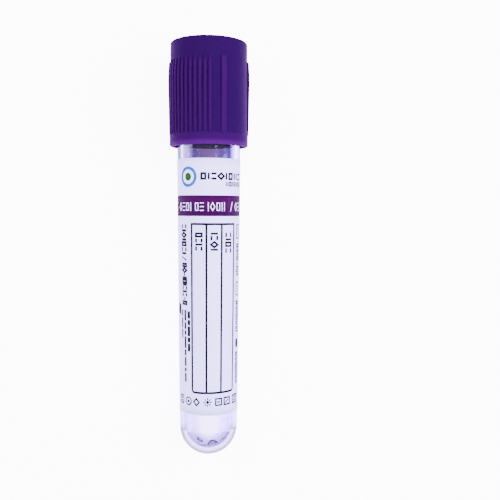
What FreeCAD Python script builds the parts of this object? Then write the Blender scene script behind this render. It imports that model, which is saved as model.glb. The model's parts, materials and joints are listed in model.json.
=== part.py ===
import FreeCAD, Part
import math
import os

# Evacuated blood collection tube with a ribbed safety closure, lying on its side as it comes to rest.
# Sizes are in millimetres. Each piece is made on the tube's own axis, +Z from the round bottom to the
# cap's top, and the assembly is then laid down. Angles round the axis start at the front of the label,
# which faces -Y before the tube is laid down, and grow towards +X.

# Tube: clear moulding with a drafted wall and a round bottom
TUBE_LENGTH = 75.0
MOUTH_RADIUS = 6.5
TUBE_WALL = 1.0
TUBE_DRAFT = 0.49            # degrees, the same inside and outside
BOTTOM_WALL = 1.15
MOUTH_ROUNDING = 0.3
GATE_RADIUS = 1.1            # shallow recess left round the moulding gate
GATE_DEPTH = 0.12
GATE_NUB_RADIUS = 0.35

# Cap: rigid shield that carries the stopper
CAP_HEIGHT = 20.85
CAP_RISE = 9.55              # cap's top above the tube's mouth
SKIRT_CLEARANCE = 0.5        # cap's skirt to the tube's mouth
SKIRT_WALL = 0.8             # between the ribs
CAP_DRAFT = 0.25             # degrees
CAP_WALL = 1.1               # round the stopper's head
CAP_TOP_WALL = 1.3
CAP_TOP_ROUNDING = 0.35
CAP_EDGE = 0.25              # rounding of the port's and the skirt's edges
CAP_INNER_EDGE = 0.2         # rounding of the ledge
CAP_CORNER = 0.3             # rounding inside the chamber
RIM_WALL = 1.0
RIM_HEIGHT = 2.3
RIM_ROUNDING = 0.45
RIM_UPPER_EDGE = 0.08
RIM_BEAD_ANGLE = 41.0        # small upright witness bead on the rim
RIM_BEAD_RADIUS = 0.18
RIM_BEAD_STAND = 0.12        # how far the bead stands out of the rim
RIM_BEAD_LENGTH = 1.65
PORT_RADIUS = 4.0            # needle port in the cap's top
PORT_COLLAR_WALL = 0.9
PORT_COLLAR_EDGE = 0.1
LEDGE_THICKNESS = 0.95       # ring that grips the stopper's groove

# Ribs on the cap: two fans of fine ribs, each between two wide ribs that frame the smooth thumb panels
FAN_ANGLE = 145.0            # middle of one fan; the other is opposite
FINE_RIBS = 12
FINE_PITCH = 7.0             # degrees
FINE_WIDTH = 0.53
FINE_START = 0.12            # how far a fine rib stands out at its top end
WIDE_WIDTH = 1.08
WIDE_START = 0.3
PANEL_ANGLE = 63.6           # degrees between the two wide ribs beside a thumb panel
RIB_TOP_MARGIN = 3.8         # smooth band above the ribs
RIB_CROWN_DROP = 3.9         # from a rib's top end down to its proudest point
RIB_CROWN = 0.48             # proudest point above the band
RIB_FOOT = 0.08              # rib's lower end above the rim
RIB_ROUNDING = 0.15
RIB_ROOT = 0.3               # how deep a rib is set into the wall

# Stopper: rubber plug with a flange on the tube's mouth and a head held inside the cap
PLUG_LENGTH = 11.6
PLUG_CLEARANCE = 0.02        # to the bore
PLUG_RELIEF = 0.25           # waist between the two sealing bands
SEAL_BAND = 2.8
PLUG_NOSE = 0.6              # slope in at the plug's lower end
PLUG_NOSE_LENGTH = 1.2
WAIST_SLOPE = 0.5            # along the axis, from a sealing band to the waist
RUBBER_EDGE = 0.2            # rounding of the bands and the flange
HEAD_EDGE = 0.3
FLANGE_OVERHANG = 0.1        # flange beyond the tube's mouth
FLANGE_THICKNESS = 1.6
GROOVE_DEPTH = 1.05
HEAD_THICKNESS = 2.3
HEAD_CLEARANCE = 0.1         # head and groove to the cap, across the axis
SEAT_CLEARANCE = 0.05        # head and groove to the cap, along the axis
WELL_RADIUS = 3.2            # dish that guides the needle
WELL_DEPTH = 1.2
WELL_FLOOR_RADIUS = 2.4
WELL_ROUNDING = 0.8
RECESS_RADIUS = 3.1          # hollow underside
RECESS_ROOF_RADIUS = 2.9
RECESS_ROUNDING = 1.8
SEPTUM = 4.2                 # rubber between dish and hollow

# Label: self-adhesive paper wrapped round most of the tube
LABEL_BOTTOM = 9.65
LABEL_HEIGHT = 51.45
LABEL_THICKNESS = 0.08
LABEL_GLUE = 0.01
LABEL_EDGE_ANGLE = 95.0      # right-hand edge
LABEL_WRAP = 285.0           # degrees that the label covers
LABEL_CORNER = 1.5

# Droplets of additive, each a low dome on the inside
DROPLET_SEAT = 0.01          # to the tube's wall
DOME_SHARE = 0.5             # dome's height over its base radius
NECK_DROPLETS = [            # (below the plug's end, angle, base radius)
    (0.1, 17, 0.3), (0.8, -23, 0.27), (0.3, 3, 0.12), (0.2, 35, 0.12), (0.55, 48, 0.17),
    (0.9, 63, 0.15), (1.8, 71, 0.13), (0.65, -55, 0.14), (1.9, -47, 0.12), (1.85, 34, 0.1),
    (1.3, 22, 0.1), (1.5, -29, 0.1), (0.9, 118, 0.22), (1.6, 152, 0.26), (0.8, -118, 0.25),
    (1.4, -160, 0.2), (0.4, 92, 0.18),
]
FOOT_DROPLETS = [            # (above the round bottom's tip, angle, base radius)
    (8.9, -58, 0.22), (8.3, 62, 0.18), (7.6, 140, 0.25), (8.6, -150, 0.2),
]
BOTTOM_DROPLETS = [          # on the round bottom: (angle away from the axis, angle, base radius)
    (24, 38, 1.05), (33, -22, 0.75), (52, -14, 0.5), (47, -48, 0.62), (60, 12, 0.95),
    (66, -55, 0.3), (71, -40, 0.2), (58, 48, 0.3), (70, 35, 0.16), (30, -120, 0.9),
    (50, 150, 0.55), (62, 110, 0.35), (44, 95, 0.45),
]

TOLERANCE = 0.01             # of the facets that the resting place is worked out from
REST_LEAN = 4.0              # degrees that the lying tube leans on over the wide rib's edge
AXIS = FreeCAD.Vector(0, 0, 1)
CENTRE = FreeCAD.Vector(0, 0, 0)

CAP_TOP = TUBE_LENGTH + CAP_RISE
CAP_BASE = CAP_TOP - CAP_HEIGHT
RIM_TOP = CAP_BASE + RIM_HEIGHT
SKIRT_RADIUS = MOUTH_RADIUS + SKIRT_CLEARANCE
CAP_RADIUS = SKIRT_RADIUS + SKIRT_WALL
RIM_RADIUS = SKIRT_RADIUS + RIM_WALL
CHAMBER_RADIUS = CAP_RADIUS - CAP_WALL
BORE_RADIUS = MOUTH_RADIUS - TUBE_WALL
PLUG_END = TUBE_LENGTH - PLUG_LENGTH

FLANGE_TOP = TUBE_LENGTH + FLANGE_THICKNESS
LEDGE_TOP = FLANGE_TOP + SEAT_CLEARANCE + LEDGE_THICKNESS
HEAD_BASE = LEDGE_TOP + SEAT_CLEARANCE
HEAD_TOP = HEAD_BASE + HEAD_THICKNESS
HEAD_RADIUS = CHAMBER_RADIUS - HEAD_CLEARANCE
GROOVE_RADIUS = HEAD_RADIUS - GROOVE_DEPTH


def vector(radius, height):
    return FreeCAD.Vector(radius, 0, height)


def rounded_face(corners):
    """Face in the XZ plane from corners (radius, height, rounding), each rounded by an arc."""
    points = [vector(radius, height) for radius, height, rounding in corners]
    edges, leaves = [], []
    for i, here in enumerate(points):
        rounding = corners[i][2]
        if not rounding:
            leaves.append((here, here))
            continue
        back = (points[i - 1] - here).normalize()
        onward = (points[(i + 1) % len(points)] - here).normalize()
        half = back.getAngle(onward) / 2
        enter = here + back * (rounding / math.tan(half))
        leave = here + onward * (rounding / math.tan(half))
        inward = (back + onward).normalize()
        middle = here + inward * (rounding / math.sin(half) - rounding)
        edges.append(Part.Arc(enter, middle, leave).toShape())
        leaves.append((enter, leave))
    for i, (enter, leave) in enumerate(leaves):
        start = leaves[i - 1][1]
        if start.distanceToPoint(enter) > 1e-6:
            edges.append(Part.LineSegment(start, enter).toShape())
    return Part.Face(Part.Wire(Part.__sortEdges__(edges)))


def turned(corners):
    """Solid of revolution round the axis."""
    return rounded_face(corners).revolve(CENTRE, AXIS, 360)


def at_angle(shape, angle):
    """Copy of a shape made on the +X side, turned to an angle counted from the top side."""
    copy = shape.copy()
    copy.rotate(CENTRE, AXIS, angle - 90)
    return copy


def draft(height, degrees):
    return height * math.tan(math.radians(degrees))


def tube_radius(height):
    """Outside radius of the tube's drafted wall."""
    return MOUTH_RADIUS - draft(TUBE_LENGTH - height, TUBE_DRAFT)


def bore_radius(height):
    return tube_radius(height) - TUBE_WALL


def round_bottom(radius_at, tip):
    """Radius of the ball that closes a drafted wall tangentially, with its lowest point at tip."""
    slope = math.radians(TUBE_DRAFT)
    return radius_at(tip) * math.cos(slope) / (1 - math.sin(slope))


def bottom_shape(radius_at, tip):
    """Solid inside a drafted wall with a round bottom, up to the tube's mouth."""
    ball = round_bottom(radius_at, tip)
    slope = math.radians(TUBE_DRAFT)
    low, middle = vector(0, tip), vector(ball * math.sin(1), tip + ball * (1 - math.cos(1)))
    tangent = vector(ball * math.cos(slope), tip + ball * (1 - math.sin(slope)))
    lip, axis_end = vector(radius_at(TUBE_LENGTH), TUBE_LENGTH), vector(0, TUBE_LENGTH)
    edges = [Part.Arc(low, middle, tangent).toShape()]
    edges += [Part.LineSegment(a, b).toShape() for a, b in ((tangent, lip), (lip, axis_end), (axis_end, low))]
    return Part.Face(Part.Wire(edges)).revolve(CENTRE, AXIS, 360)


def edges_at(shape, radius, height):
    """Circular edges of a turned shape that lie at a radius and a height."""
    def matches(edge):
        box = edge.BoundBox
        return abs(box.XMax - radius) < 0.01 and abs(box.ZMin - height) < 0.01 and box.ZLength < 0.01
    return [edge for edge in shape.Edges if not edge.Degenerated and matches(edge)]


def make_tube():
    tube = bottom_shape(tube_radius, 0).cut(bottom_shape(bore_radius, BOTTOM_WALL))
    lips = edges_at(tube, MOUTH_RADIUS, TUBE_LENGTH) + edges_at(tube, BORE_RADIUS, TUBE_LENGTH)
    tube = tube.makeFillet(MOUTH_ROUNDING, lips)
    ball = round_bottom(tube_radius, 0)
    floor = ball - math.sqrt(ball ** 2 - GATE_RADIUS ** 2) + GATE_DEPTH
    recess = Part.makeCylinder(GATE_RADIUS, floor)
    nub = Part.makeCone(GATE_NUB_RADIUS / 2, GATE_NUB_RADIUS, floor, vector(0, GATE_DEPTH))
    return tube.cut(recess.cut(nub))


def make_stopper():
    def band(height):
        return bore_radius(height) - PLUG_CLEARANCE

    def waist(height):
        return band(height) - PLUG_RELIEF

    nose_top = PLUG_END + PLUG_NOSE_LENGTH
    lower_band_top = nose_top + SEAL_BAND
    upper_band_base = TUBE_LENGTH - SEAL_BAND
    flange_radius = MOUTH_RADIUS + FLANGE_OVERHANG
    well_floor = HEAD_TOP - WELL_DEPTH
    recess_roof = well_floor - SEPTUM
    return turned([
        (0, recess_roof, 0),
        (RECESS_ROOF_RADIUS, recess_roof, RECESS_ROUNDING),
        (RECESS_RADIUS, PLUG_END, RUBBER_EDGE),
        (band(PLUG_END) - PLUG_NOSE, PLUG_END, RUBBER_EDGE),
        (band(nose_top), nose_top, RUBBER_EDGE),
        (band(lower_band_top), lower_band_top, RUBBER_EDGE),
        (waist(lower_band_top + WAIST_SLOPE), lower_band_top + WAIST_SLOPE, RUBBER_EDGE),
        (waist(upper_band_base - WAIST_SLOPE), upper_band_base - WAIST_SLOPE, RUBBER_EDGE),
        (band(upper_band_base), upper_band_base, RUBBER_EDGE),
        (band(TUBE_LENGTH) - MOUTH_ROUNDING / 4, TUBE_LENGTH, 0),
        (flange_radius, TUBE_LENGTH, RUBBER_EDGE),
        (flange_radius, FLANGE_TOP, RUBBER_EDGE),
        (GROOVE_RADIUS, FLANGE_TOP, RUBBER_EDGE),
        (GROOVE_RADIUS, HEAD_BASE, RUBBER_EDGE),
        (HEAD_RADIUS, HEAD_BASE, RUBBER_EDGE),
        (HEAD_RADIUS, HEAD_TOP, HEAD_EDGE),
        (WELL_RADIUS, HEAD_TOP, HEAD_EDGE),
        (WELL_FLOOR_RADIUS, well_floor, WELL_ROUNDING),
        (0, well_floor, 0),
    ])


def make_rib(width, start):
    """One rib on the +X side: straight from its foot to the crown, then bowed in to its top end."""
    foot, top_end = RIM_TOP, CAP_TOP - RIB_TOP_MARGIN
    crown_height = top_end - RIB_CROWN_DROP
    root = CAP_RADIUS - RIB_ROOT
    foot_radius = RIM_RADIUS + RIB_FOOT
    crown_radius = CAP_RADIUS + RIB_CROWN
    end_radius = CAP_RADIUS + start
    bow = vector(crown_radius - (crown_radius - end_radius) / 4, crown_height + RIB_CROWN_DROP / 2)
    corners = [vector(root, foot), vector(foot_radius, foot), vector(crown_radius, crown_height)]
    edges = [Part.LineSegment(a, b).toShape() for a, b in zip(corners, corners[1:])]
    edges.append(Part.Arc(corners[-1], bow, vector(end_radius, top_end)).toShape())
    edges.append(Part.LineSegment(vector(end_radius, top_end), vector(root, top_end)).toShape())
    edges.append(Part.LineSegment(vector(root, top_end), vector(root, foot)).toShape())
    side = Part.Face(Part.Wire(edges))
    side.translate(FreeCAD.Vector(0, -width / 2, 0))
    rib = side.extrude(FreeCAD.Vector(0, width, 0))
    outer = [edge for edge in rib.Edges if edge.BoundBox.XMin > CAP_RADIUS + start / 2]
    return rib.makeFillet(RIB_ROUNDING, outer)


def rib_angles():
    """Angles of the fine ribs and of the wide ribs of one fan, in order."""
    fine = [FAN_ANGLE + (i - (FINE_RIBS - 1) / 2) * FINE_PITCH for i in range(FINE_RIBS)]
    wide = [FAN_ANGLE + side * (90 - PANEL_ANGLE / 2) for side in (-1, 1)]
    return fine, wide


def make_cap():
    panel_foot = CAP_RADIUS + draft(CAP_TOP - RIM_TOP, CAP_DRAFT)
    skirt_foot = SKIRT_RADIUS + draft(FLANGE_TOP - CAP_BASE, CAP_DRAFT)
    collar_base = HEAD_TOP + SEAT_CLEARANCE
    collar_radius = PORT_RADIUS + PORT_COLLAR_WALL
    ledge_radius = GROOVE_RADIUS + HEAD_CLEARANCE
    ledge_base = FLANGE_TOP + SEAT_CLEARANCE
    ceiling = CAP_TOP - CAP_TOP_WALL
    cap = turned([
        (skirt_foot, CAP_BASE, CAP_EDGE),
        (RIM_RADIUS, CAP_BASE, RIM_ROUNDING),
        (RIM_RADIUS, RIM_TOP, RIM_UPPER_EDGE),
        (panel_foot, RIM_TOP, 0),
        (CAP_RADIUS, CAP_TOP, CAP_TOP_ROUNDING),
        (PORT_RADIUS, CAP_TOP, CAP_EDGE),
        (PORT_RADIUS, collar_base, PORT_COLLAR_EDGE),
        (collar_radius, collar_base, PORT_COLLAR_EDGE),
        (collar_radius, ceiling, CAP_CORNER),
        (CHAMBER_RADIUS, ceiling, CAP_CORNER),
        (CHAMBER_RADIUS, LEDGE_TOP, 0),
        (ledge_radius, LEDGE_TOP, CAP_INNER_EDGE),
        (ledge_radius, ledge_base, CAP_INNER_EDGE),
        (SKIRT_RADIUS, ledge_base, CAP_INNER_EDGE),
    ])
    fine, wide = rib_angles()
    fine_rib, wide_rib = make_rib(FINE_WIDTH, FINE_START), make_rib(WIDE_WIDTH, WIDE_START)
    fan = [at_angle(fine_rib, angle) for angle in fine] + [at_angle(wide_rib, angle) for angle in wide]
    ribs = [at_angle(rib, turn) for rib in fan for turn in (90, 270)]
    bead = Part.makeCylinder(RIM_BEAD_RADIUS, RIM_BEAD_LENGTH)
    bead.translate(vector(RIM_RADIUS + RIM_BEAD_STAND - RIM_BEAD_RADIUS, CAP_BASE + RIM_ROUNDING))
    return cap.multiFuse(ribs + [at_angle(bead, RIM_BEAD_ANGLE)])


def label_corner(up, onward):
    """Waste outside a label's rounded corner at the origin; the label lies up and onward of it."""
    reach = 2 * MOUTH_RADIUS
    waste = Part.makeBox(reach, LABEL_CORNER, LABEL_CORNER)
    round_end = Part.makeCylinder(LABEL_CORNER, reach, vector(0, LABEL_CORNER), FreeCAD.Vector(1, 0, 0))
    round_end.translate(FreeCAD.Vector(0, LABEL_CORNER, 0))
    waste = waste.cut(round_end)
    if not up:
        waste = waste.mirror(CENTRE, AXIS)
    if not onward:
        waste = waste.mirror(CENTRE, FreeCAD.Vector(0, 1, 0))
    return waste


def make_label():
    top = LABEL_BOTTOM + LABEL_HEIGHT
    outline = []
    for height, thickness in ((LABEL_BOTTOM, 0), (LABEL_BOTTOM, 1), (top, 1), (top, 0)):
        radius = tube_radius(height) + LABEL_GLUE + thickness * LABEL_THICKNESS
        outline.append((radius, height, 0))
    sheet = rounded_face(outline).revolve(CENTRE, AXIS, LABEL_WRAP)
    for height, up in ((LABEL_BOTTOM, True), (top, False)):
        for angle, onward in ((0, True), (LABEL_WRAP, False)):
            waste = label_corner(up, onward)
            waste.translate(vector(0, height))
            waste.rotate(CENTRE, AXIS, angle)
            sheet = sheet.cut(waste)
    return at_angle(sheet, LABEL_EDGE_ANGLE - LABEL_WRAP)


def droplet(centre, outward, wall_radius, base):
    """Low dome on the inside of a wall that curves round centre, in the direction outward of it."""
    height = base * DOME_SHARE
    sag = wall_radius - math.sqrt(wall_radius ** 2 - base ** 2)

    def on_ball(radius, sign):
        """Point half way from the dome's rim to its pole, on a ball of that radius."""
        half = math.asin(base / radius) / 2
        rise = radius * math.cos(half) - math.sqrt(radius ** 2 - base ** 2)
        return vector(radius * math.sin(half), sag + sign * rise)

    dome_radius = (base ** 2 + height ** 2) / (2 * height)
    foot, rim, crown = vector(0, 0), vector(base, sag), vector(0, sag + height)
    edges = [
        Part.Arc(foot, on_ball(wall_radius, -1), rim).toShape(),
        Part.Arc(rim, on_ball(dome_radius, 1), crown).toShape(),
        Part.LineSegment(crown, foot).toShape(),
    ]
    drop = Part.Face(Part.Wire(edges)).revolve(CENTRE, AXIS, 360)
    seat = centre + outward * (wall_radius - DROPLET_SEAT)
    drop.Placement = FreeCAD.Placement(seat, FreeCAD.Rotation(AXIS, outward * -1))
    return drop


def make_droplets():
    drops = []
    wall = [(PLUG_END - below, angle, base) for below, angle, base in NECK_DROPLETS] + FOOT_DROPLETS
    for height, angle, base in wall:
        drops.append(at_angle(droplet(vector(0, height), vector(1, 0), bore_radius(height), base), angle))
    ball = round_bottom(bore_radius, BOTTOM_WALL)
    for tilt, angle, base in BOTTOM_DROPLETS:
        outward = vector(math.sin(math.radians(tilt)), -math.cos(math.radians(tilt)))
        drops.append(at_angle(droplet(vector(0, BOTTOM_WALL + ball), outward, ball, base), angle))
    return Part.makeCompound(drops)


def resting_place(pieces):
    """Placement that lays the pieces on the floor, cap towards +Y. The cap lies between the last fine
    rib of a fan and the wide rib beside it, where it stops rolling, and the tube on its round bottom."""
    facets = {name: piece.tessellate(TOLERANCE)[0] for name, piece in pieces.items()}
    round_end = [point for name in ("tube", "label") for point in facets[name] if point.z < TUBE_LENGTH / 2]
    fine, wide = rib_angles()
    down_angle = (fine[-1] + wide[-1]) / 2
    incline = 0.0

    def seen(point):
        """Place along the axis, across it, and towards the floor."""
        turned_down = FreeCAD.Rotation(AXIS, 180 - down_angle).multVec(point)
        return turned_down.z, turned_down.x, turned_down.y

    def depth(place):
        return place[2] * math.cos(incline) - place[0] * math.sin(incline)

    def nearest_floor(points, side=0):
        """Place of the lowest point, on one side of the line under the axis if side is -1 or 1."""
        places = [seen(point) for point in points]
        return max((place for place in places if place[1] * side >= 0), key=depth)

    for _ in range(12):
        left, right = nearest_floor(facets["cap"], -1), nearest_floor(facets["cap"], 1)
        down_angle += math.degrees(math.atan2(right[2] - left[2], right[1] - left[1]))
        foot, rib = nearest_floor(round_end), max(left, right, key=depth)
        incline = math.atan2(rib[2] - foot[2], rib[0] - foot[0])
    down_angle += REST_LEAN
    for _ in range(3):
        foot, rib = nearest_floor(round_end), nearest_floor(facets["cap"])
        incline = math.atan2(rib[2] - foot[2], rib[0] - foot[0])
    lie_down = FreeCAD.Rotation(FreeCAD.Vector(1, 0, 0), math.degrees(incline) - 90)
    lie_down = lie_down.multiply(FreeCAD.Rotation(AXIS, 180 - down_angle))
    lying = [lie_down.multVec(point) for points in facets.values() for point in points]
    middle_x = (max(p.x for p in lying) + min(p.x for p in lying)) / 2
    middle_y = (max(p.y for p in lying) + min(p.y for p in lying)) / 2
    print("rests on the side at", round(down_angle, 2), "degrees, inclined", round(math.degrees(incline), 3))
    print("the cap's height above the foot", round(depth(foot) - depth(rib), 4))
    return FreeCAD.Placement(FreeCAD.Vector(-middle_x, -middle_y, depth(foot)), lie_down)


def main():
    pieces = {
        "tube": make_tube(),
        "stopper": make_stopper(),
        "cap": make_cap(),
        "label": make_label(),
        "additive_droplets": make_droplets(),
    }
    place = resting_place(pieces)
    os.makedirs("parts", exist_ok=True)
    for name, piece in pieces.items():
        piece.Placement = place.multiply(piece.Placement)
        print(name, len(piece.Solids), "solids", round(piece.Volume, 2), "mm3", piece.isValid(),
              "lowest", round(piece.BoundBox.ZMin, 4))
        piece.exportStep("parts/" + name + ".step")
    return place


PLACE = main()
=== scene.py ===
import json
import math

import bmesh
import bpy
from mathutils import Matrix, Vector


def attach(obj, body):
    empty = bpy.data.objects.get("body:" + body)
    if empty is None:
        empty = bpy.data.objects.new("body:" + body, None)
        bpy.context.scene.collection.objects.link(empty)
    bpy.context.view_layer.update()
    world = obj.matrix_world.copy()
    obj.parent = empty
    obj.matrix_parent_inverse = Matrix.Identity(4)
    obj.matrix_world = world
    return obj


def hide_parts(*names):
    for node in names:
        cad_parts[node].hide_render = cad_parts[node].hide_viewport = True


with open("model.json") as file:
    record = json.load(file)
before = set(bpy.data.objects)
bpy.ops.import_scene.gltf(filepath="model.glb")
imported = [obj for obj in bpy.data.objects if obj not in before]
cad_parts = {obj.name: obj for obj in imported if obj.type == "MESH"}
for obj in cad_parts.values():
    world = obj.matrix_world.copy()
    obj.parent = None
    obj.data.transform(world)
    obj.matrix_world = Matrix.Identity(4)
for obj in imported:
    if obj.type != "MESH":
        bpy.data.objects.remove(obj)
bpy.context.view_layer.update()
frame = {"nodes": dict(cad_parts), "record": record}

# Looks of an evacuated blood collection tube that lies on a pale light table. Everything is in metres.
# Places on the tube are given as a height from its round bottom's tip, a radius, and an angle in
# degrees that starts at the front of the label and grows towards the label's right-hand edge.

MM = 0.001

# Tube
TUBE_LENGTH = 75 * MM
MOUTH_RADIUS = 6.5 * MM
TUBE_WALL = 1.0 * MM
TUBE_DRAFT = math.radians(0.49)
BOTTOM_WALL = 1.15 * MM
MOUTH_ROUNDING = 0.3 * MM
GATE_RADIUS = 1.1 * MM
GATE_DEPTH = 0.12 * MM
WITNESS_WIDTH = 0.10 * MM        # line round the tube where the mould's round end begins
WITNESS_DEPTH = 0.03 * MM
TUBE_SEGMENTS = 256

# Label
LABEL_BOTTOM = 9.65 * MM
LABEL_HEIGHT = 51.45 * MM
LABEL_THICKNESS = 0.08 * MM
LABEL_GLUE = 0.01 * MM
LABEL_EDGE_ANGLE = 95.0
LABEL_WRAP = 285.0
LABEL_CORNER = 1.5 * MM

# Where finishes change: heights from the tube's tip, and distances from the axis
CAP_LIP = (63.7 * MM, 65.0 * MM)         # painted paler foot of the cap's rim, as if lit from below through thin plastic, and where that ends
CAP_RIM = (65.9 * MM, 66.1 * MM)         # top edge of the rim
CAP_RIB = (7.92 * MM, 8.12 * MM)         # from the foot of a rib to its top
ROUND_END = (5.4 * MM, 6.0 * MM)         # where the tube's round end becomes the wall
CHEEK_TIP = (0.0 * MM, 0.9 * MM)         # sides of the round end: where their painted dark edge, a painted shade, begins
CHEEK_TOP = (5.6 * MM, 8.0 * MM)         # and where it ends

# Print, in millimetres on the flat label: across from its front line, and up from the tube's tip
INK_THICKNESS = 0.009
INK_GAP = 0.003
INK_STEP = 0.3                   # widest facet round the tube
BAND_FOOT, BAND_TOP = 49.67, 53.79
BAND_HIGHLIGHT_LINE = (4.5, 0.10)          # place and width of a painted highlight line across the band
TABLE_LEFT, TABLE_COLUMN, TABLE_COLUMNS = -3.46, 3.197, 3
TABLE_FOOT, TABLE_TOP = 14.25, 48.1
TABLE_RULE = 0.44
TABLE_CORNER = 0.55

# Light
FLOOR_SEEN = 9.0                 # glow of the table as it is seen, past or through the tube
FLOOR_BOUNCE = 1.6               # and as it lights the tube
SHADE_WIDTH = (8.6 * MM, 14.0 * MM)      # to either side of the tube: full shade, no shade
SHADE_START = (48 * MM, 57 * MM)         # along the tube: no shade, full shade
SHADE_END = (80 * MM, 87 * MM)           # and on to the cap's top: full shade, no shade
WORLD_HORIZON, WORLD_ZENITH = 8.0, 5.0   # as it is seen
SKY_FALL = 0.30                  # height of a direction at which the sky is as at the zenith
WORLD_INSIDE = 0.4               # zenith as a clear wall shows it
WORLD_BOUNCE = 0.7               # and as it lights the tube
BOUNCE_COLOUR = (0.80, 0.66, 1.0, 1)
LAMP_COLOUR = (0.66, 0.62, 1.0)
LAMP_WIDTH, LAMP_HEIGHT = 0.35, 0.5
LAMP_ASIDE, LAMP_ALONG, LAMP_UP = 0.26, 0.05, 0.42       # from the middle of the part
LAMP_POWERS = {"right": 12.0, "left": 8.6}
LIT_MIDDLE = 45 * MM             # height on the tube that the lamps aim at
FLOOR_RADIUS = 12

# Camera, as distances from the tube's axis
CAMERA_HEIGHT = 50.94 * MM
CAMERA_DISTANCE = 140.9 * MM
CAMERA_ANGLE = 1.85
AIM_HEIGHT = 42.65 * MM
AIM_ASIDE = 8.535 * MM
CAMERA_ROLL = 0.267
CAMERA_LENS = 49.06

mounts = {mount["name"]: mount for mount in frame["record"]["mounts"]}
foot_of_cap = Vector(mounts["tube_body"]["pos_m"])
ALONG = -Vector(mounts["tube_body"]["axis"]).normalized()
TIP = foot_of_cap - ALONG * mounts["tube_body"]["dims"]["length_mm"] * MM
to_front = Vector(mounts["cap_top"]["pos_m"]) - foot_of_cap
FRONT = (to_front - ALONG * to_front.dot(ALONG)).normalized()
ASIDE = ALONG.cross(FRONT)
ON_TUBE = Matrix.Translation(TIP) @ Matrix((ASIDE, -FRONT, ALONG)).transposed().to_4x4()


def place(height, radius, angle):
    """Point in the row frame."""
    turn = math.radians(angle)
    return TIP + ALONG * height + (FRONT * math.cos(turn) + ASIDE * math.sin(turn)) * radius


# ---------------------------------------------------------------- materials

class Value:
    """A socket of a finish's nodes. Arithmetic on it adds Math nodes."""

    def __init__(self, finish, socket):
        self.finish, self.socket = finish, socket

    def math(self, operation, *others):
        values = dict(enumerate([self, *others]))
        return self.finish.add("Math", {"operation": operation}, values)

    def __add__(self, other):
        return self.math("ADD", other)

    def __sub__(self, other):
        return self.math("SUBTRACT", other)

    def __rsub__(self, other):
        return (self * -1).math("ADD", other)

    def __mul__(self, other):
        return self.math("MULTIPLY", other)

    __radd__, __rmul__ = __add__, __mul__

    def ramp(self, low, high):
        """0 at low, 1 at high, straight between."""
        settings = {"clamp": True}
        return self.finish.add("MapRange", settings, {"Value": self, "From Min": low, "From Max": high})

    def soft(self, low, high):
        """0 at low, 1 at high, eased between."""
        settings = {"clamp": True, "interpolation_type": "SMOOTHSTEP"}
        return self.finish.add("MapRange", settings, {"Value": self, "From Min": low, "From Max": high})


class Nodes:
    """A node tree, filled by one call for each node."""

    def __init__(self, owner, shader):
        owner.use_nodes = True
        self.tree = owner.node_tree
        self.shader = self.tree.nodes[shader]

    def add(self, kind, settings=None, sockets=None, output=0):
        node = self.tree.nodes.new("ShaderNode" + kind)
        for name, setting in (settings or {}).items():
            setattr(node, name, setting)
        self.feed(node, sockets or {})
        return Value(self, node.outputs[output])

    def feed(self, node, sockets):
        for name, value in sockets.items():
            if isinstance(value, Value):
                self.tree.links.new(value.socket, node.inputs[name])
            else:
                node.inputs[name].default_value = value

    def noise(self, where, scale, detail=2.0, stretch=(1, 1, 1)):
        where = self.add("Mapping", {}, {"Vector": where, "Scale": stretch})
        return self.add("TexNoise", {}, {"Vector": where, "Scale": scale, "Detail": detail})

    def dot(self, vector, direction):
        return self.add("VectorMath", {"operation": "DOT_PRODUCT"}, {0: vector, 1: direction}, output="Value")

    def mix(self, factor, first, second):
        """Colour between two colours."""
        return self.add("Mix", {"data_type": "RGBA"}, {0: factor, 6: first, 7: second}, output=2)

    def bump(self, height, distance, strength=1.0):
        return self.add("Bump", {}, {"Height": height, "Distance": distance, "Strength": strength})

    def edge_on(self):
        """0 where the surface is seen square on, 1 where it is seen edge on."""
        return self.add("LayerWeight", {}, {"Blend": 0.5}, output="Facing")

    def lights_only(self):
        """1 for light that a surface reflects, 0 for what is seen, also through the clear wall."""
        return self.add("LightPath", output="Is Reflection Ray")

    def through_wall(self):
        """1 for what is seen through a clear wall."""
        return self.add("LightPath", output="Is Transmission Ray")

    def about_tube(self, where, origin, along):
        """Height over the tip and distance from the axis."""
        offset = self.add("VectorMath", {"operation": "SUBTRACT"}, {0: where, 1: tuple(origin)})
        height = self.dot(offset, tuple(along))
        length = self.add("VectorMath", {"operation": "LENGTH"}, {0: offset}, output="Value")
        return height, (length * length - height * height).math("SQRT")


class Finish(Nodes):
    """A material, its principled shader and its nodes."""

    def __init__(self, name):
        self.material = bpy.data.materials.new(name)
        super().__init__(self.material, "Principled BSDF")

    def surface(self, sockets):
        self.feed(self.shader, sockets)
        return self.material

    def coordinates(self):
        return self.add("TexCoord", output="Object")


def rgb(red, green, blue):
    return (red, green, blue, 1)


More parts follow.
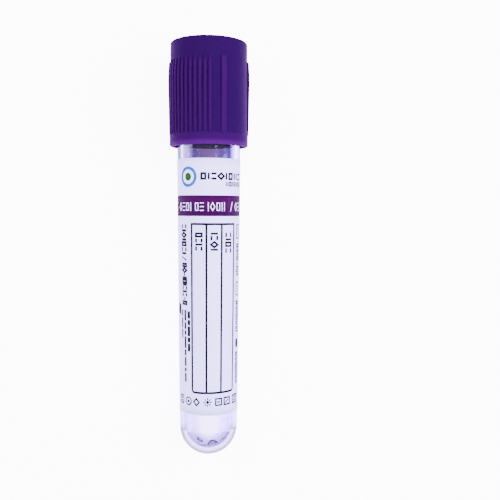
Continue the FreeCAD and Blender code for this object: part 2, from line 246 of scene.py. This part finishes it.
def clear_plastic():
    finish = Finish("clear_plastic")
    where = finish.coordinates()
    height = finish.dot(where, (0, 0, 1))
    ripple = finish.noise(where, 180, detail=1, stretch=(1, 1, 0.25))
    side = finish.edge_on()
    # Lilac where the wall is seen edge on, partly the plastic's own tint through more wall, and darker
    # towards the silhouette as painted shade of the refracted surroundings
    colour = finish.mix(side.soft(0.02, 0.14), rgb(0.93, 0.89, 1.0), rgb(0.55, 0.40, 0.96))
    colour = finish.mix(side.soft(0.36, 0.70), colour, rgb(0.20, 0.12, 0.85))
    # Painted shade: the round end's edges darker, and near-black crescents on its sides where refraction
    # would show dark surroundings
    round_end = 1 - height.ramp(*ROUND_END)
    colour = finish.mix(side.soft(0.0, 0.22) * round_end, colour, rgb(0.30, 0.235, 0.50))
    cheek_shade = side.soft(0.36, 0.66) * height.soft(*CHEEK_TIP) * (1 - height.soft(*CHEEK_TOP))
    colour = finish.mix(cheek_shade, colour, rgb(0.004, 0.003, 0.008))
    return finish.surface({
        "Base Color": colour,
        "Transmission Weight": 1.0,
        "IOR": 1.57,
        "Specular IOR Level": 0.3,
        "Roughness": finish.noise(where, 900).ramp(0.4, 0.8) * 0.03 + 0.01,
        "Normal": finish.bump(ripple, 0.02 * MM, 0.3),
    })


def cap_plastic():
    finish = Finish("cap_plastic")
    where = finish.coordinates()
    height, radius = finish.about_tube(where, TIP, ALONG)
    # Painted highlight: raised ribs lighter, where light catches them
    rib_highlight = radius.soft(*CAP_RIB)
    # Painted light from below: the rim a little lighter and its foot much paler, as light through thin
    # plastic
    rim_glow = 1 - height.ramp(*CAP_RIM)
    lip_glow = 1 - height.soft(*CAP_LIP)
    cloud = finish.noise(where, 260, detail=3)
    colour = finish.mix(cloud, rgb(0.0100, 0.0, 0.0230), rgb(0.0120, 0.0, 0.0270))
    colour = finish.mix(rib_highlight, colour, rgb(0.0180, 0.0, 0.034))
    colour = finish.mix(rim_glow, colour, rgb(0.0175, 0.0, 0.033))
    colour = finish.mix(lip_glow * 0.8, colour, rgb(0.052, 0.003, 0.082))
    grain = finish.noise(where, 5200, detail=2)
    return finish.surface({
        "Base Color": colour,
        "Roughness": finish.noise(where, 700).ramp(0.2, 0.8) * 0.10 + 0.45,
        "Specular IOR Level": 0.01,
        "Sheen Weight": 0.19,
        "Sheen Roughness": 0.35,
        "Sheen Tint": rgb(0.50, 0.03, 0.62),
        "Normal": finish.bump(grain, 0.012 * MM, 0.35),
    })


def stopper_rubber():
    finish = Finish("stopper_rubber")
    where = finish.coordinates()
    return finish.surface({
        "Base Color": finish.mix(finish.noise(where, 500), rgb(0.010, 0.0, 0.030), rgb(0.014, 0.0, 0.040)),
        "Roughness": finish.noise(where, 900) * 0.2 + 0.65,
        "Specular IOR Level": 0.0,
        "Normal": finish.bump(finish.noise(where, 3000, detail=3), 0.02 * MM, 0.4),
    })


def label_paper():
    finish = Finish("label_paper")
    where = finish.coordinates()
    fibres = finish.noise(where, 1800, detail=4, stretch=(1, 1, 0.4))
    cloud = finish.noise(where, 90, detail=3)
    return finish.surface({
        "Base Color": finish.mix(cloud, rgb(0.67, 0.64, 0.96), rgb(0.70, 0.67, 0.98)),
        "Roughness": fibres * 0.15 + 0.50,
        "Specular IOR Level": 0.06,
        "Normal": finish.bump(fibres, 0.01 * MM, 0.35),
    })


def additive():
    finish = Finish("additive")
    where = finish.coordinates()
    # Painted shade: droplets darker where seen edge on, so their outlines show as refraction would make them
    colour = finish.mix(finish.edge_on().soft(0.12, 0.55), rgb(0.90, 0.86, 1.0), rgb(0.07, 0.05, 0.13))
    return finish.surface({
        "Base Color": colour,
        "Transmission Weight": 1.0,
        "IOR": 1.34,
        "Specular IOR Level": 0.3,
        "Roughness": finish.noise(where, 2000) * 0.04,
    })


def ink(name, red, green, blue):
    """Ink whose cover varies a little, as print on coated paper does."""
    finish = Finish(name)
    where = finish.coordinates()
    cover = finish.noise(where, 2600, detail=3).ramp(0.3, 0.75)
    thin = rgb(*(level * 1.25 for level in (red, green, blue)))
    return finish.surface({
        "Base Color": finish.mix(cover, rgb(red, green, blue), thin),
        "Roughness": cover * 0.12 + 0.50,
        "Specular IOR Level": 0.03,
    })


def table_top():
    """Light table. Its glow is dimmed under the tube, and where it only lights the tube."""
    finish = Finish("light_table")
    where = finish.coordinates()
    offset = finish.add("VectorMath", {"operation": "SUBTRACT"}, {0: where, 1: tuple(TIP)})
    aside = finish.dot(offset, tuple(ALONG.cross(Vector((0, 0, 1))).normalized())).math("ABSOLUTE")
    along = finish.dot(offset, tuple(ALONG))
    shade = 1 - aside.soft(*SHADE_WIDTH)
    shade = shade * along.soft(*SHADE_START)
    shade = shade * (1 - along.soft(*SHADE_END))
    shade = shade * finish.through_wall()
    bounce = finish.lights_only()
    colour = finish.mix(bounce, rgb(1.0, 0.995, 1.0), BOUNCE_COLOUR)
    colour = finish.mix(shade, colour, rgb(0.024, 0.010, 0.040))
    matt = finish.mix(finish.noise(where, 30), rgb(0.80, 0.80, 0.81), rgb(0.82, 0.82, 0.82))
    return finish.surface({
        "Base Color": finish.mix(shade, matt, rgb(0.05, 0.03, 0.08)),
        "Roughness": 0.6,
        "Specular IOR Level": 0.0,
        "Emission Color": colour,
        "Emission Strength": FLOOR_SEEN - bounce * (FLOOR_SEEN - FLOOR_BOUNCE),
    })


# ---------------------------------------------------------------- meshes


def tube_radius(height):
    """Outside radius of the tube's drafted wall."""
    return MOUTH_RADIUS - (TUBE_LENGTH - height) * math.tan(TUBE_DRAFT)


def label_radius(height):
    """Outside radius of the label."""
    return tube_radius(height) + LABEL_GLUE + LABEL_THICKNESS


def arc(centre, radius, start, end, steps):
    """Points (radius, height) on an arc whose angles are counted from straight down."""
    turns = [start + (end - start) * i / steps for i in range(steps + 1)]
    return [(centre[0] + radius * math.sin(t), centre[1] - radius * math.cos(t)) for t in turns]


def turned(name, outline, material, segments):
    """Closed solid turned round the axis from an outline (radius, height) that ends on the axis."""
    mesh = bmesh.new()
    rings = []
    for radius, height in outline:
        if radius < 1e-9:
            rings.append([mesh.verts.new((0, 0, height))])
            continue
        angles = [2 * math.pi * i / segments for i in range(segments)]
        rings.append([mesh.verts.new((radius * math.cos(a), radius * math.sin(a), height)) for a in angles])
    for low, high in zip(rings, rings[1:]):
        for i in range(segments):
            after = (i + 1) % segments
            if len(low) == 1:
                mesh.faces.new((low[0], high[after], high[i]))
            elif len(high) == 1:
                mesh.faces.new((low[i], low[after], high[0]))
            else:
                mesh.faces.new((low[i], low[after], high[after], high[i]))
    bmesh.ops.recalc_face_normals(mesh, faces=mesh.faces)
    return finished(name, mesh, material)


def finished(name, mesh, *materials):
    """Object in the scene from a mesh made on the tube's axis."""
    data = bpy.data.meshes.new(name)
    mesh.to_mesh(data)
    mesh.free()
    data.shade_smooth()
    data.set_sharp_from_angle(angle=math.radians(35))
    for material in materials:
        data.materials.append(material)
    piece = bpy.data.objects.new(name, data)
    bpy.context.scene.collection.objects.link(piece)
    piece.matrix_world = ON_TUBE
    return piece


def ball(radius_at, tip):
    """Radius of the ball that closes a drafted wall tangentially."""
    return radius_at(tip) * math.cos(TUBE_DRAFT) / (1 - math.sin(TUBE_DRAFT))


def make_tube(material):
    def bore_radius(height):
        return tube_radius(height) - TUBE_WALL

    outer_ball, inner_ball = ball(tube_radius, 0), ball(bore_radius, BOTTOM_WALL)
    side = math.pi / 2 - TUBE_DRAFT
    gate_turn = math.asin(GATE_RADIUS / outer_ball)
    gate_floor = outer_ball * (1 - math.cos(gate_turn)) + GATE_DEPTH
    outline = [(0, gate_floor), (GATE_RADIUS, gate_floor)]
    outline += arc((0, outer_ball), outer_ball, gate_turn, side, 48)
    for share, depth in ((0.1, 0), (0.6, WITNESS_DEPTH), (1.1, 0)):
        level = outer_ball + share * WITNESS_WIDTH
        outline.append((tube_radius(level) - depth, level))
    top = TUBE_LENGTH - MOUTH_ROUNDING
    outline += arc((tube_radius(top) - MOUTH_ROUNDING, top), MOUTH_ROUNDING, math.pi / 2, math.pi, 6)
    inner_lip = (bore_radius(top) + MOUTH_ROUNDING, top)
    outline += arc(inner_lip, MOUTH_ROUNDING, math.pi, 3 * math.pi / 2, 6)
    outline += arc((0, BOTTOM_WALL + inner_ball), inner_ball, side, 0, 48)
    return turned("tube_clear", outline, material, TUBE_SEGMENTS)


def make_label(material):
    """Paper sheet that follows the tube, with rounded corners."""
    mesh = bmesh.new()
    columns, rows = 200, 24
    top = LABEL_BOTTOM + LABEL_HEIGHT
    whole = math.radians(LABEL_WRAP) * MOUTH_RADIUS
    grid = []
    for i in range(columns + 1):
        share = i / columns
        passed = share * whole
        inset = LABEL_CORNER - min(passed, whole - passed, LABEL_CORNER)
        trim = LABEL_CORNER - math.sqrt(LABEL_CORNER ** 2 - inset ** 2)
        angle = math.radians(LABEL_EDGE_ANGLE - LABEL_WRAP * (1 - share) - 90)
        column = []
        for j in range(rows + 1):
            height = LABEL_BOTTOM + trim + (top - LABEL_BOTTOM - 2 * trim) * j / rows
            radius = label_radius(height)
            column.append(mesh.verts.new((radius * math.cos(angle), radius * math.sin(angle), height)))
        grid.append(column)
    for left, right in zip(grid, grid[1:]):
        for j in range(rows):
            mesh.faces.new((left[j], right[j], right[j + 1], left[j + 1]))
    piece = finished("label_sheet", mesh, material)
    thick = piece.modifiers.new("thickness", "SOLIDIFY")
    thick.thickness, thick.offset = LABEL_THICKNESS, -1
    return piece


# ---------------------------------------------------------------- print on the label


class Print:
    """One ink's shapes, drawn flat as (across, up) in millimetres and then laid round the label."""

    def __init__(self, name, material, layer=0):
        self.name, self.material, self.layer = name, material, layer
        self.mesh = bmesh.new()

    def patch(self, corners):
        """Filled shape with these corners, counter-clockwise."""
        self.mesh.faces.new([self.mesh.verts.new((x, y, 0)) for x, y in corners])

    def block(self, left, foot, right, top):
        self.patch([(left, foot), (right, foot), (right, top), (left, top)])

    def stroke(self, points, width):
        """Line of one width with mitred corners, closed if it ends where it began."""
        closed = points[0] == points[-1]
        points = points[:-1] if closed else points
        count = len(points)
        sides = []
        for i, point in enumerate(points):
            here = Vector(point)
            before = Vector(points[(i - 1) % count]) if closed or i else None
            after = Vector(points[(i + 1) % count]) if closed or i < count - 1 else None
            way_in = (here - before).normalized() if before else (after - here).normalized()
            way_out = (after - here).normalized() if after else way_in
            across = Vector((-(way_in.y + way_out.y), way_in.x + way_out.x)).normalized()
            reach = width / 2 / max(0.4, across.dot(Vector((-way_in.y, way_in.x))))
            sides.append((here + across * reach, here - across * reach))
        for first, second in zip(sides, sides[1:] + sides[:1] * closed):
            self.patch([first[1], second[1], second[0], first[0]])

    def ring(self, centre, radius, width):
        turns = [math.radians(20 * i) for i in range(18)]
        points = [(centre[0] + radius * math.cos(t), centre[1] + radius * math.sin(t)) for t in turns]
        self.stroke(points + points[:1], width)

    def disc(self, centre, radius):
        turns = [2 * math.pi * i / 24 for i in range(24)]
        self.patch([(centre[0] + radius * math.cos(t), centre[1] + radius * math.sin(t)) for t in turns])

    def frame(self, left, foot, right, top, width):
        self.stroke([(left, foot), (right, foot), (right, top), (left, top), (left, foot)], width)

    def row(self, marks, start, length, size, weight, down=False):
        """Marks of one size, spread over a length to the right, or down with their tops to the right."""
        marks = marks.split()
        stretch = length / sum(MARKS[mark][0] for mark in marks)
        passed = 0
        for mark in marks:
            width, lines = MARKS[mark]
            for line in lines:
                places = [((passed + along) * stretch, up * size) for along, up in line]
                if down:
                    places = [(up, -along) for along, up in places]
                self.stroke([(start[0] + x, start[1] + y) for x, y in places], weight)
            passed += width

    def words(self, lengths, start, size, gap):
        """Small print below a start, as one bar for each word."""
        top = start[1]
        for length in lengths:
            self.block(start[0], top - length, start[0] + size, top)
            top -= length + gap

    def laid(self):
        """Piece with the shapes wrapped round the label and given the thickness of ink."""
        reach = [vertex.co.x for vertex in self.mesh.verts]
        for i in range(math.ceil(min(reach) / INK_STEP), math.floor(max(reach) / INK_STEP) + 1):
            everything = self.mesh.verts[:] + self.mesh.edges[:] + self.mesh.faces[:]
            bmesh.ops.bisect_plane(self.mesh, geom=everything, dist=1e-6,
                                   plane_co=(i * INK_STEP, 0, 0), plane_no=(1, 0, 0))
        lift = (INK_GAP + INK_THICKNESS) * (self.layer + 1) * MM
        for vertex in self.mesh.verts:
            height = vertex.co.y * MM
            angle = vertex.co.x * MM / MOUTH_RADIUS - math.pi / 2
            radius = label_radius(height) + lift
            vertex.co = (radius * math.cos(angle), radius * math.sin(angle), height)
        piece = finished(self.name, self.mesh, self.material)
        thick = piece.modifiers.new("thickness", "SOLIDIFY")
        thick.thickness, thick.offset = INK_THICKNESS * MM, -1
        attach(piece, "tube")
        return piece


# Marks that spell nothing: the room each takes along a row, and its lines in a cell one high
MARKS = {
    "bar": (0.34, [[(0.15, 0), (0.15, 1)]]),
    "twin": (0.70, [[(0.15, 0), (0.15, 1)], [(0.50, 0), (0.50, 1)]]),
    "box": (0.72, [[(0.15, 0.09), (0.53, 0.09), (0.53, 0.91), (0.15, 0.91), (0.15, 0.09)]]),
    "steps": (0.68, [[(0.05, up), (0.59, up)] for up in (0.09, 0.5, 0.91)]),
    "pair": (0.66, [[(0.05, up), (0.57, up)] for up in (0.12, 0.88)]),
    "kite": (0.80, [[(0.38, 0.06), (0.68, 0.5), (0.38, 0.94), (0.08, 0.5), (0.38, 0.06)]]),
    "slant": (0.62, [[(0.12, -0.05), (0.48, 1.05)]]),
    "dash": (0.50, [[(0.06, 0.48), (0.40, 0.48)]]),
    "gap": (0.36, []),
}


def print_label():
    """Plain marks and fields of colour where such a label is printed, with no words, names or codes."""
    dark = Print("print_dark", ink("ink_dark", 0.005, 0.0035, 0.005))
    purple = Print("print_band", ink("ink_purple", 0.027, 0.0, 0.026))
    white = Print("print_white", ink("ink_white", 0.78, 0.78, 0.97), layer=1)
    # Lighter purple for a painted highlight line on the band
    highlight_line = Print("print_band_highlight", ink("ink_band_highlight", 0.055, 0.008, 0.06), layer=1)
    blue = Print("print_blue", ink("ink_blue", 0.004, 0.085, 0.26))
    green = Print("print_green", ink("ink_green", 0.010, 0.060, 0.004))

    # Blue ring round a green disc, with two rows of marks beside it
    badge = (-4.3, 57.45)
    blue.ring(badge, 1.75, 0.62)
    green.disc(badge, 0.80)
    dark.row("box bar pair kite bar box twin pair", (-1.6, 56.9), 10.2, 1.3, 0.42)
    dark.row("twin box bar steps bar box twin", (3.7, 55.6), 5.0, 0.85, 0.26)

    # Band across the whole label, with a painted highlight line across it
    edge = MOUTH_RADIUS / MM * math.radians(LABEL_EDGE_ANGLE)
    whole = MOUTH_RADIUS / MM * math.radians(LABEL_WRAP)
    purple.block(edge - whole + 0.02, BAND_FOOT, edge - 0.02, BAND_TOP)
    highlight_line.block(BAND_HIGHLIGHT_LINE[0], BAND_FOOT, BAND_HIGHLIGHT_LINE[0] + BAND_HIGHLIGHT_LINE[1], BAND_TOP)
    line, size, weight = 50.65, 1.78, 0.15
    white.row("kite steps box bar gap box steps gap bar kite box twin", (-7.2, line), 11.0, size, weight)
    white.row("slant gap kite steps bar", (4.85, line), 4.0, size, weight)

    # Ruled table with rounded lower corners and three headings that read downwards
    left, right = TABLE_LEFT, TABLE_LEFT + TABLE_COLUMN * TABLE_COLUMNS
    corner = TABLE_CORNER
    turns = [math.radians(15 * i) for i in range(7)]
    rounding = [(corner - corner * math.sin(t), corner - corner * math.cos(t)) for t in turns]
    outline = [(right - inset, TABLE_FOOT + rise) for inset, rise in rounding]
    outline += [(right, TABLE_TOP), (left, TABLE_TOP)]
    outline += [(left + rise, TABLE_FOOT + inset) for inset, rise in rounding]
    dark.stroke(outline + outline[:1], TABLE_RULE)
    half = TABLE_RULE / 2
    for i in range(1, TABLE_COLUMNS):
        middle = left + TABLE_COLUMN * i
        dark.block(middle - half, TABLE_FOOT + half, middle + half, TABLE_TOP - half)
    for i, heading in enumerate(("box pair bar pair", "bar pair kite bar", "pair bar box pair")):
        middle = left + TABLE_COLUMN * (i + 0.5)
        dark.row(heading, (middle - 0.76, 46.5), 3.8 + 0.5 * (i == 2), 1.55, 0.42, down=True)

    # Bold row and small print left of the table
    dark.row("pair bar kite bar box pair bar", (-6.35, 48.1), 6.2, 1.45, 0.46, down=True)
    dark.row("slant", (-6.35, 41.7), 1.1, 1.45, 0.3, down=True)
    dark.row("box kite dash bar box bar pair bar pair dash box", (-6.25, 40.3), 8.6, 1.45, 0.46, down=True)
    dark.patch([(-8.35, 29.9), (-7.0, 29.6), (-6.9, 31.8), (-8.25, 32.1)])
    dark.words((1.5, 1.1, 2.0, 1.0, 1.6), (-4.65, 30.6), 0.70, 0.24)
    dark.words((2.2, 1.4, 0.9, 2.4, 1.2, 1.9, 0.8, 1.8), (-5.65, 30.8), 0.58, 0.30)
    dark.words((1.3, 2.1, 1.8), (-6.65, 30.8), 0.56, 0.30)

    # Column right of the table: two frames and a block, each with a row of marks below it
    near, far = 7.25, 8.55
    for top, foot in ((47.9, 45.2), (36.2, 33.6)):
        dark.frame(near, foot, far, top, 0.28)
        dark.row("twin bar", (7.55, top - 0.55), 1.5, 0.7, 0.13, down=True)
    dark.row("box kite bar box pair bar kite bar", (near, 44.2), 6.7, 1.2, 0.36, down=True)
    dark.row("box kite bar box twin bar steps bar", (near, 32.5), 6.6, 1.2, 0.36, down=True)
    dark.block(near, 22.8, far, 24.6)
    dark.row("box kite bar box twin bar steps twin", (near, 21.9), 6.6, 1.2, 0.36, down=True)

    # Seven plain signs under the table
    dark.frame(-7.4, 11.6, -6.15, 13.2, 0.3)
    dark.words((0.34, 0.34), (-7.1, 12.9), 0.6, 0.3)
    dark.ring((-4.55, 12.3), 0.76, 0.30)
    dark.disc((-4.55, 12.3), 0.30)
    dark.stroke([(-2.5, 11.6), (-1.85, 12.3), (-2.5, 13.0), (-3.15, 12.3), (-2.5, 11.6)], 0.34)
    star = (0, 12.35)
    for i in range(8):
        ray = Vector((math.cos(math.radians(45 * i)), math.sin(math.radians(45 * i))))
        dark.stroke([tuple(Vector(star) + ray * reach) for reach in (0.45, 0.92)], 0.24)
    dark.disc(star, 0.34)
    dark.frame(1.75, 11.7, 3.1, 13.0, 0.32)
    dark.block(2.05, 12.2, 2.75, 12.5)
    dark.frame(3.75, 11.65, 5.2, 13.05, 0.34)
    dark.stroke([(4.0, 12.0), (4.95, 12.7)], 0.28)
    dark.frame(6.2, 11.6, 7.8, 13.15, 0.36)
    dark.words((0.34, 0.34), (6.6, 12.85), 0.8, 0.22)

    for layer in (dark, purple, white, highlight_line, blue, green):
        layer.laid()


# ---------------------------------------------------------------- the object

tube = make_tube(clear_plastic())
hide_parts("tube")
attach(tube, "tube")

label = make_label(label_paper())
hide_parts("label")
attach(label, "tube")
print_label()

plain_nodes = {"cap": cap_plastic(), "stopper": stopper_rubber(), "additive_droplets": additive()}
for node, material in plain_nodes.items():
    data = frame["nodes"][node].data
    data.materials.clear()
    data.materials.append(material)

# ---------------------------------------------------------------- floor, light and camera


def make_floor(material):
    mesh = bmesh.new()
    bmesh.ops.create_circle(mesh, cap_ends=True, segments=96, radius=FLOOR_RADIUS)
    data = bpy.data.meshes.new("floor")
    mesh.to_mesh(data)
    mesh.free()
    data.materials.append(material)
    floor = bpy.data.objects.new("floor", data)
    bpy.context.scene.collection.objects.link(floor)


def soft_light(name, position, target, power):
    data = bpy.data.lights.new(name, "AREA")
    data.shape, data.size, data.size_y = "RECTANGLE", LAMP_WIDTH, LAMP_HEIGHT
    data.energy, data.color = power, LAMP_COLOUR
    lamp = bpy.data.objects.new(name, data)
    lamp.location = position
    lamp.visible_glossy = lamp.visible_transmission = False
    lamp.rotation_euler = (target - position).to_track_quat("-Z", "Y").to_euler()
    bpy.context.scene.collection.objects.link(lamp)


def make_world():
    """As pale as the table at the horizon, and dimmer overhead."""
    world = bpy.data.worlds.new("studio")
    studio = Nodes(world, "Background")
    direction = studio.add("TexCoord", output="Generated")
    upward = studio.add("SeparateXYZ", sockets={"Vector": direction}, output="Z")
    fall = (1 - upward.soft(0, SKY_FALL)).math("POWER", 2)
    zenith = WORLD_ZENITH - studio.through_wall() * (WORLD_ZENITH - WORLD_INSIDE)
    seen = fall * (WORLD_HORIZON - zenith) + zenith
    bounce = studio.lights_only()
    strength = seen * (1 - bounce) + bounce * WORLD_BOUNCE
    colour = studio.mix(bounce, rgb(0.97, 0.965, 1.0), BOUNCE_COLOUR)
    studio.feed(studio.shader, {"Color": colour, "Strength": strength})
    bpy.context.scene.world = world


def make_camera():
    data = bpy.data.cameras.new("camera")
    data.lens, data.sensor_width = CAMERA_LENS, 36
    data.clip_start = 0.005
    camera = bpy.data.objects.new("camera", data)
    bpy.context.scene.collection.objects.link(camera)
    eye = place(CAMERA_HEIGHT, CAMERA_DISTANCE, CAMERA_ANGLE)
    aim = TIP + ALONG * AIM_HEIGHT + ASIDE * AIM_ASIDE
    back = (eye - aim).normalized()
    up = (ALONG - back * ALONG.dot(back)).normalized()
    up = Matrix.Rotation(math.radians(CAMERA_ROLL), 3, back) @ up
    right = up.cross(back)
    camera.matrix_world = Matrix.Translation(eye) @ Matrix((right, up, back)).transposed().to_4x4()
    bpy.context.scene.camera = camera


make_floor(table_top())
make_world()
make_camera()
middle = TIP + ALONG * LIT_MIDDLE
for side, aside in (("right", LAMP_ASIDE), ("left", -LAMP_ASIDE)):
    soft_light("lamp_" + side, middle + Vector((aside, LAMP_ALONG, LAMP_UP)), middle, LAMP_POWERS[side])
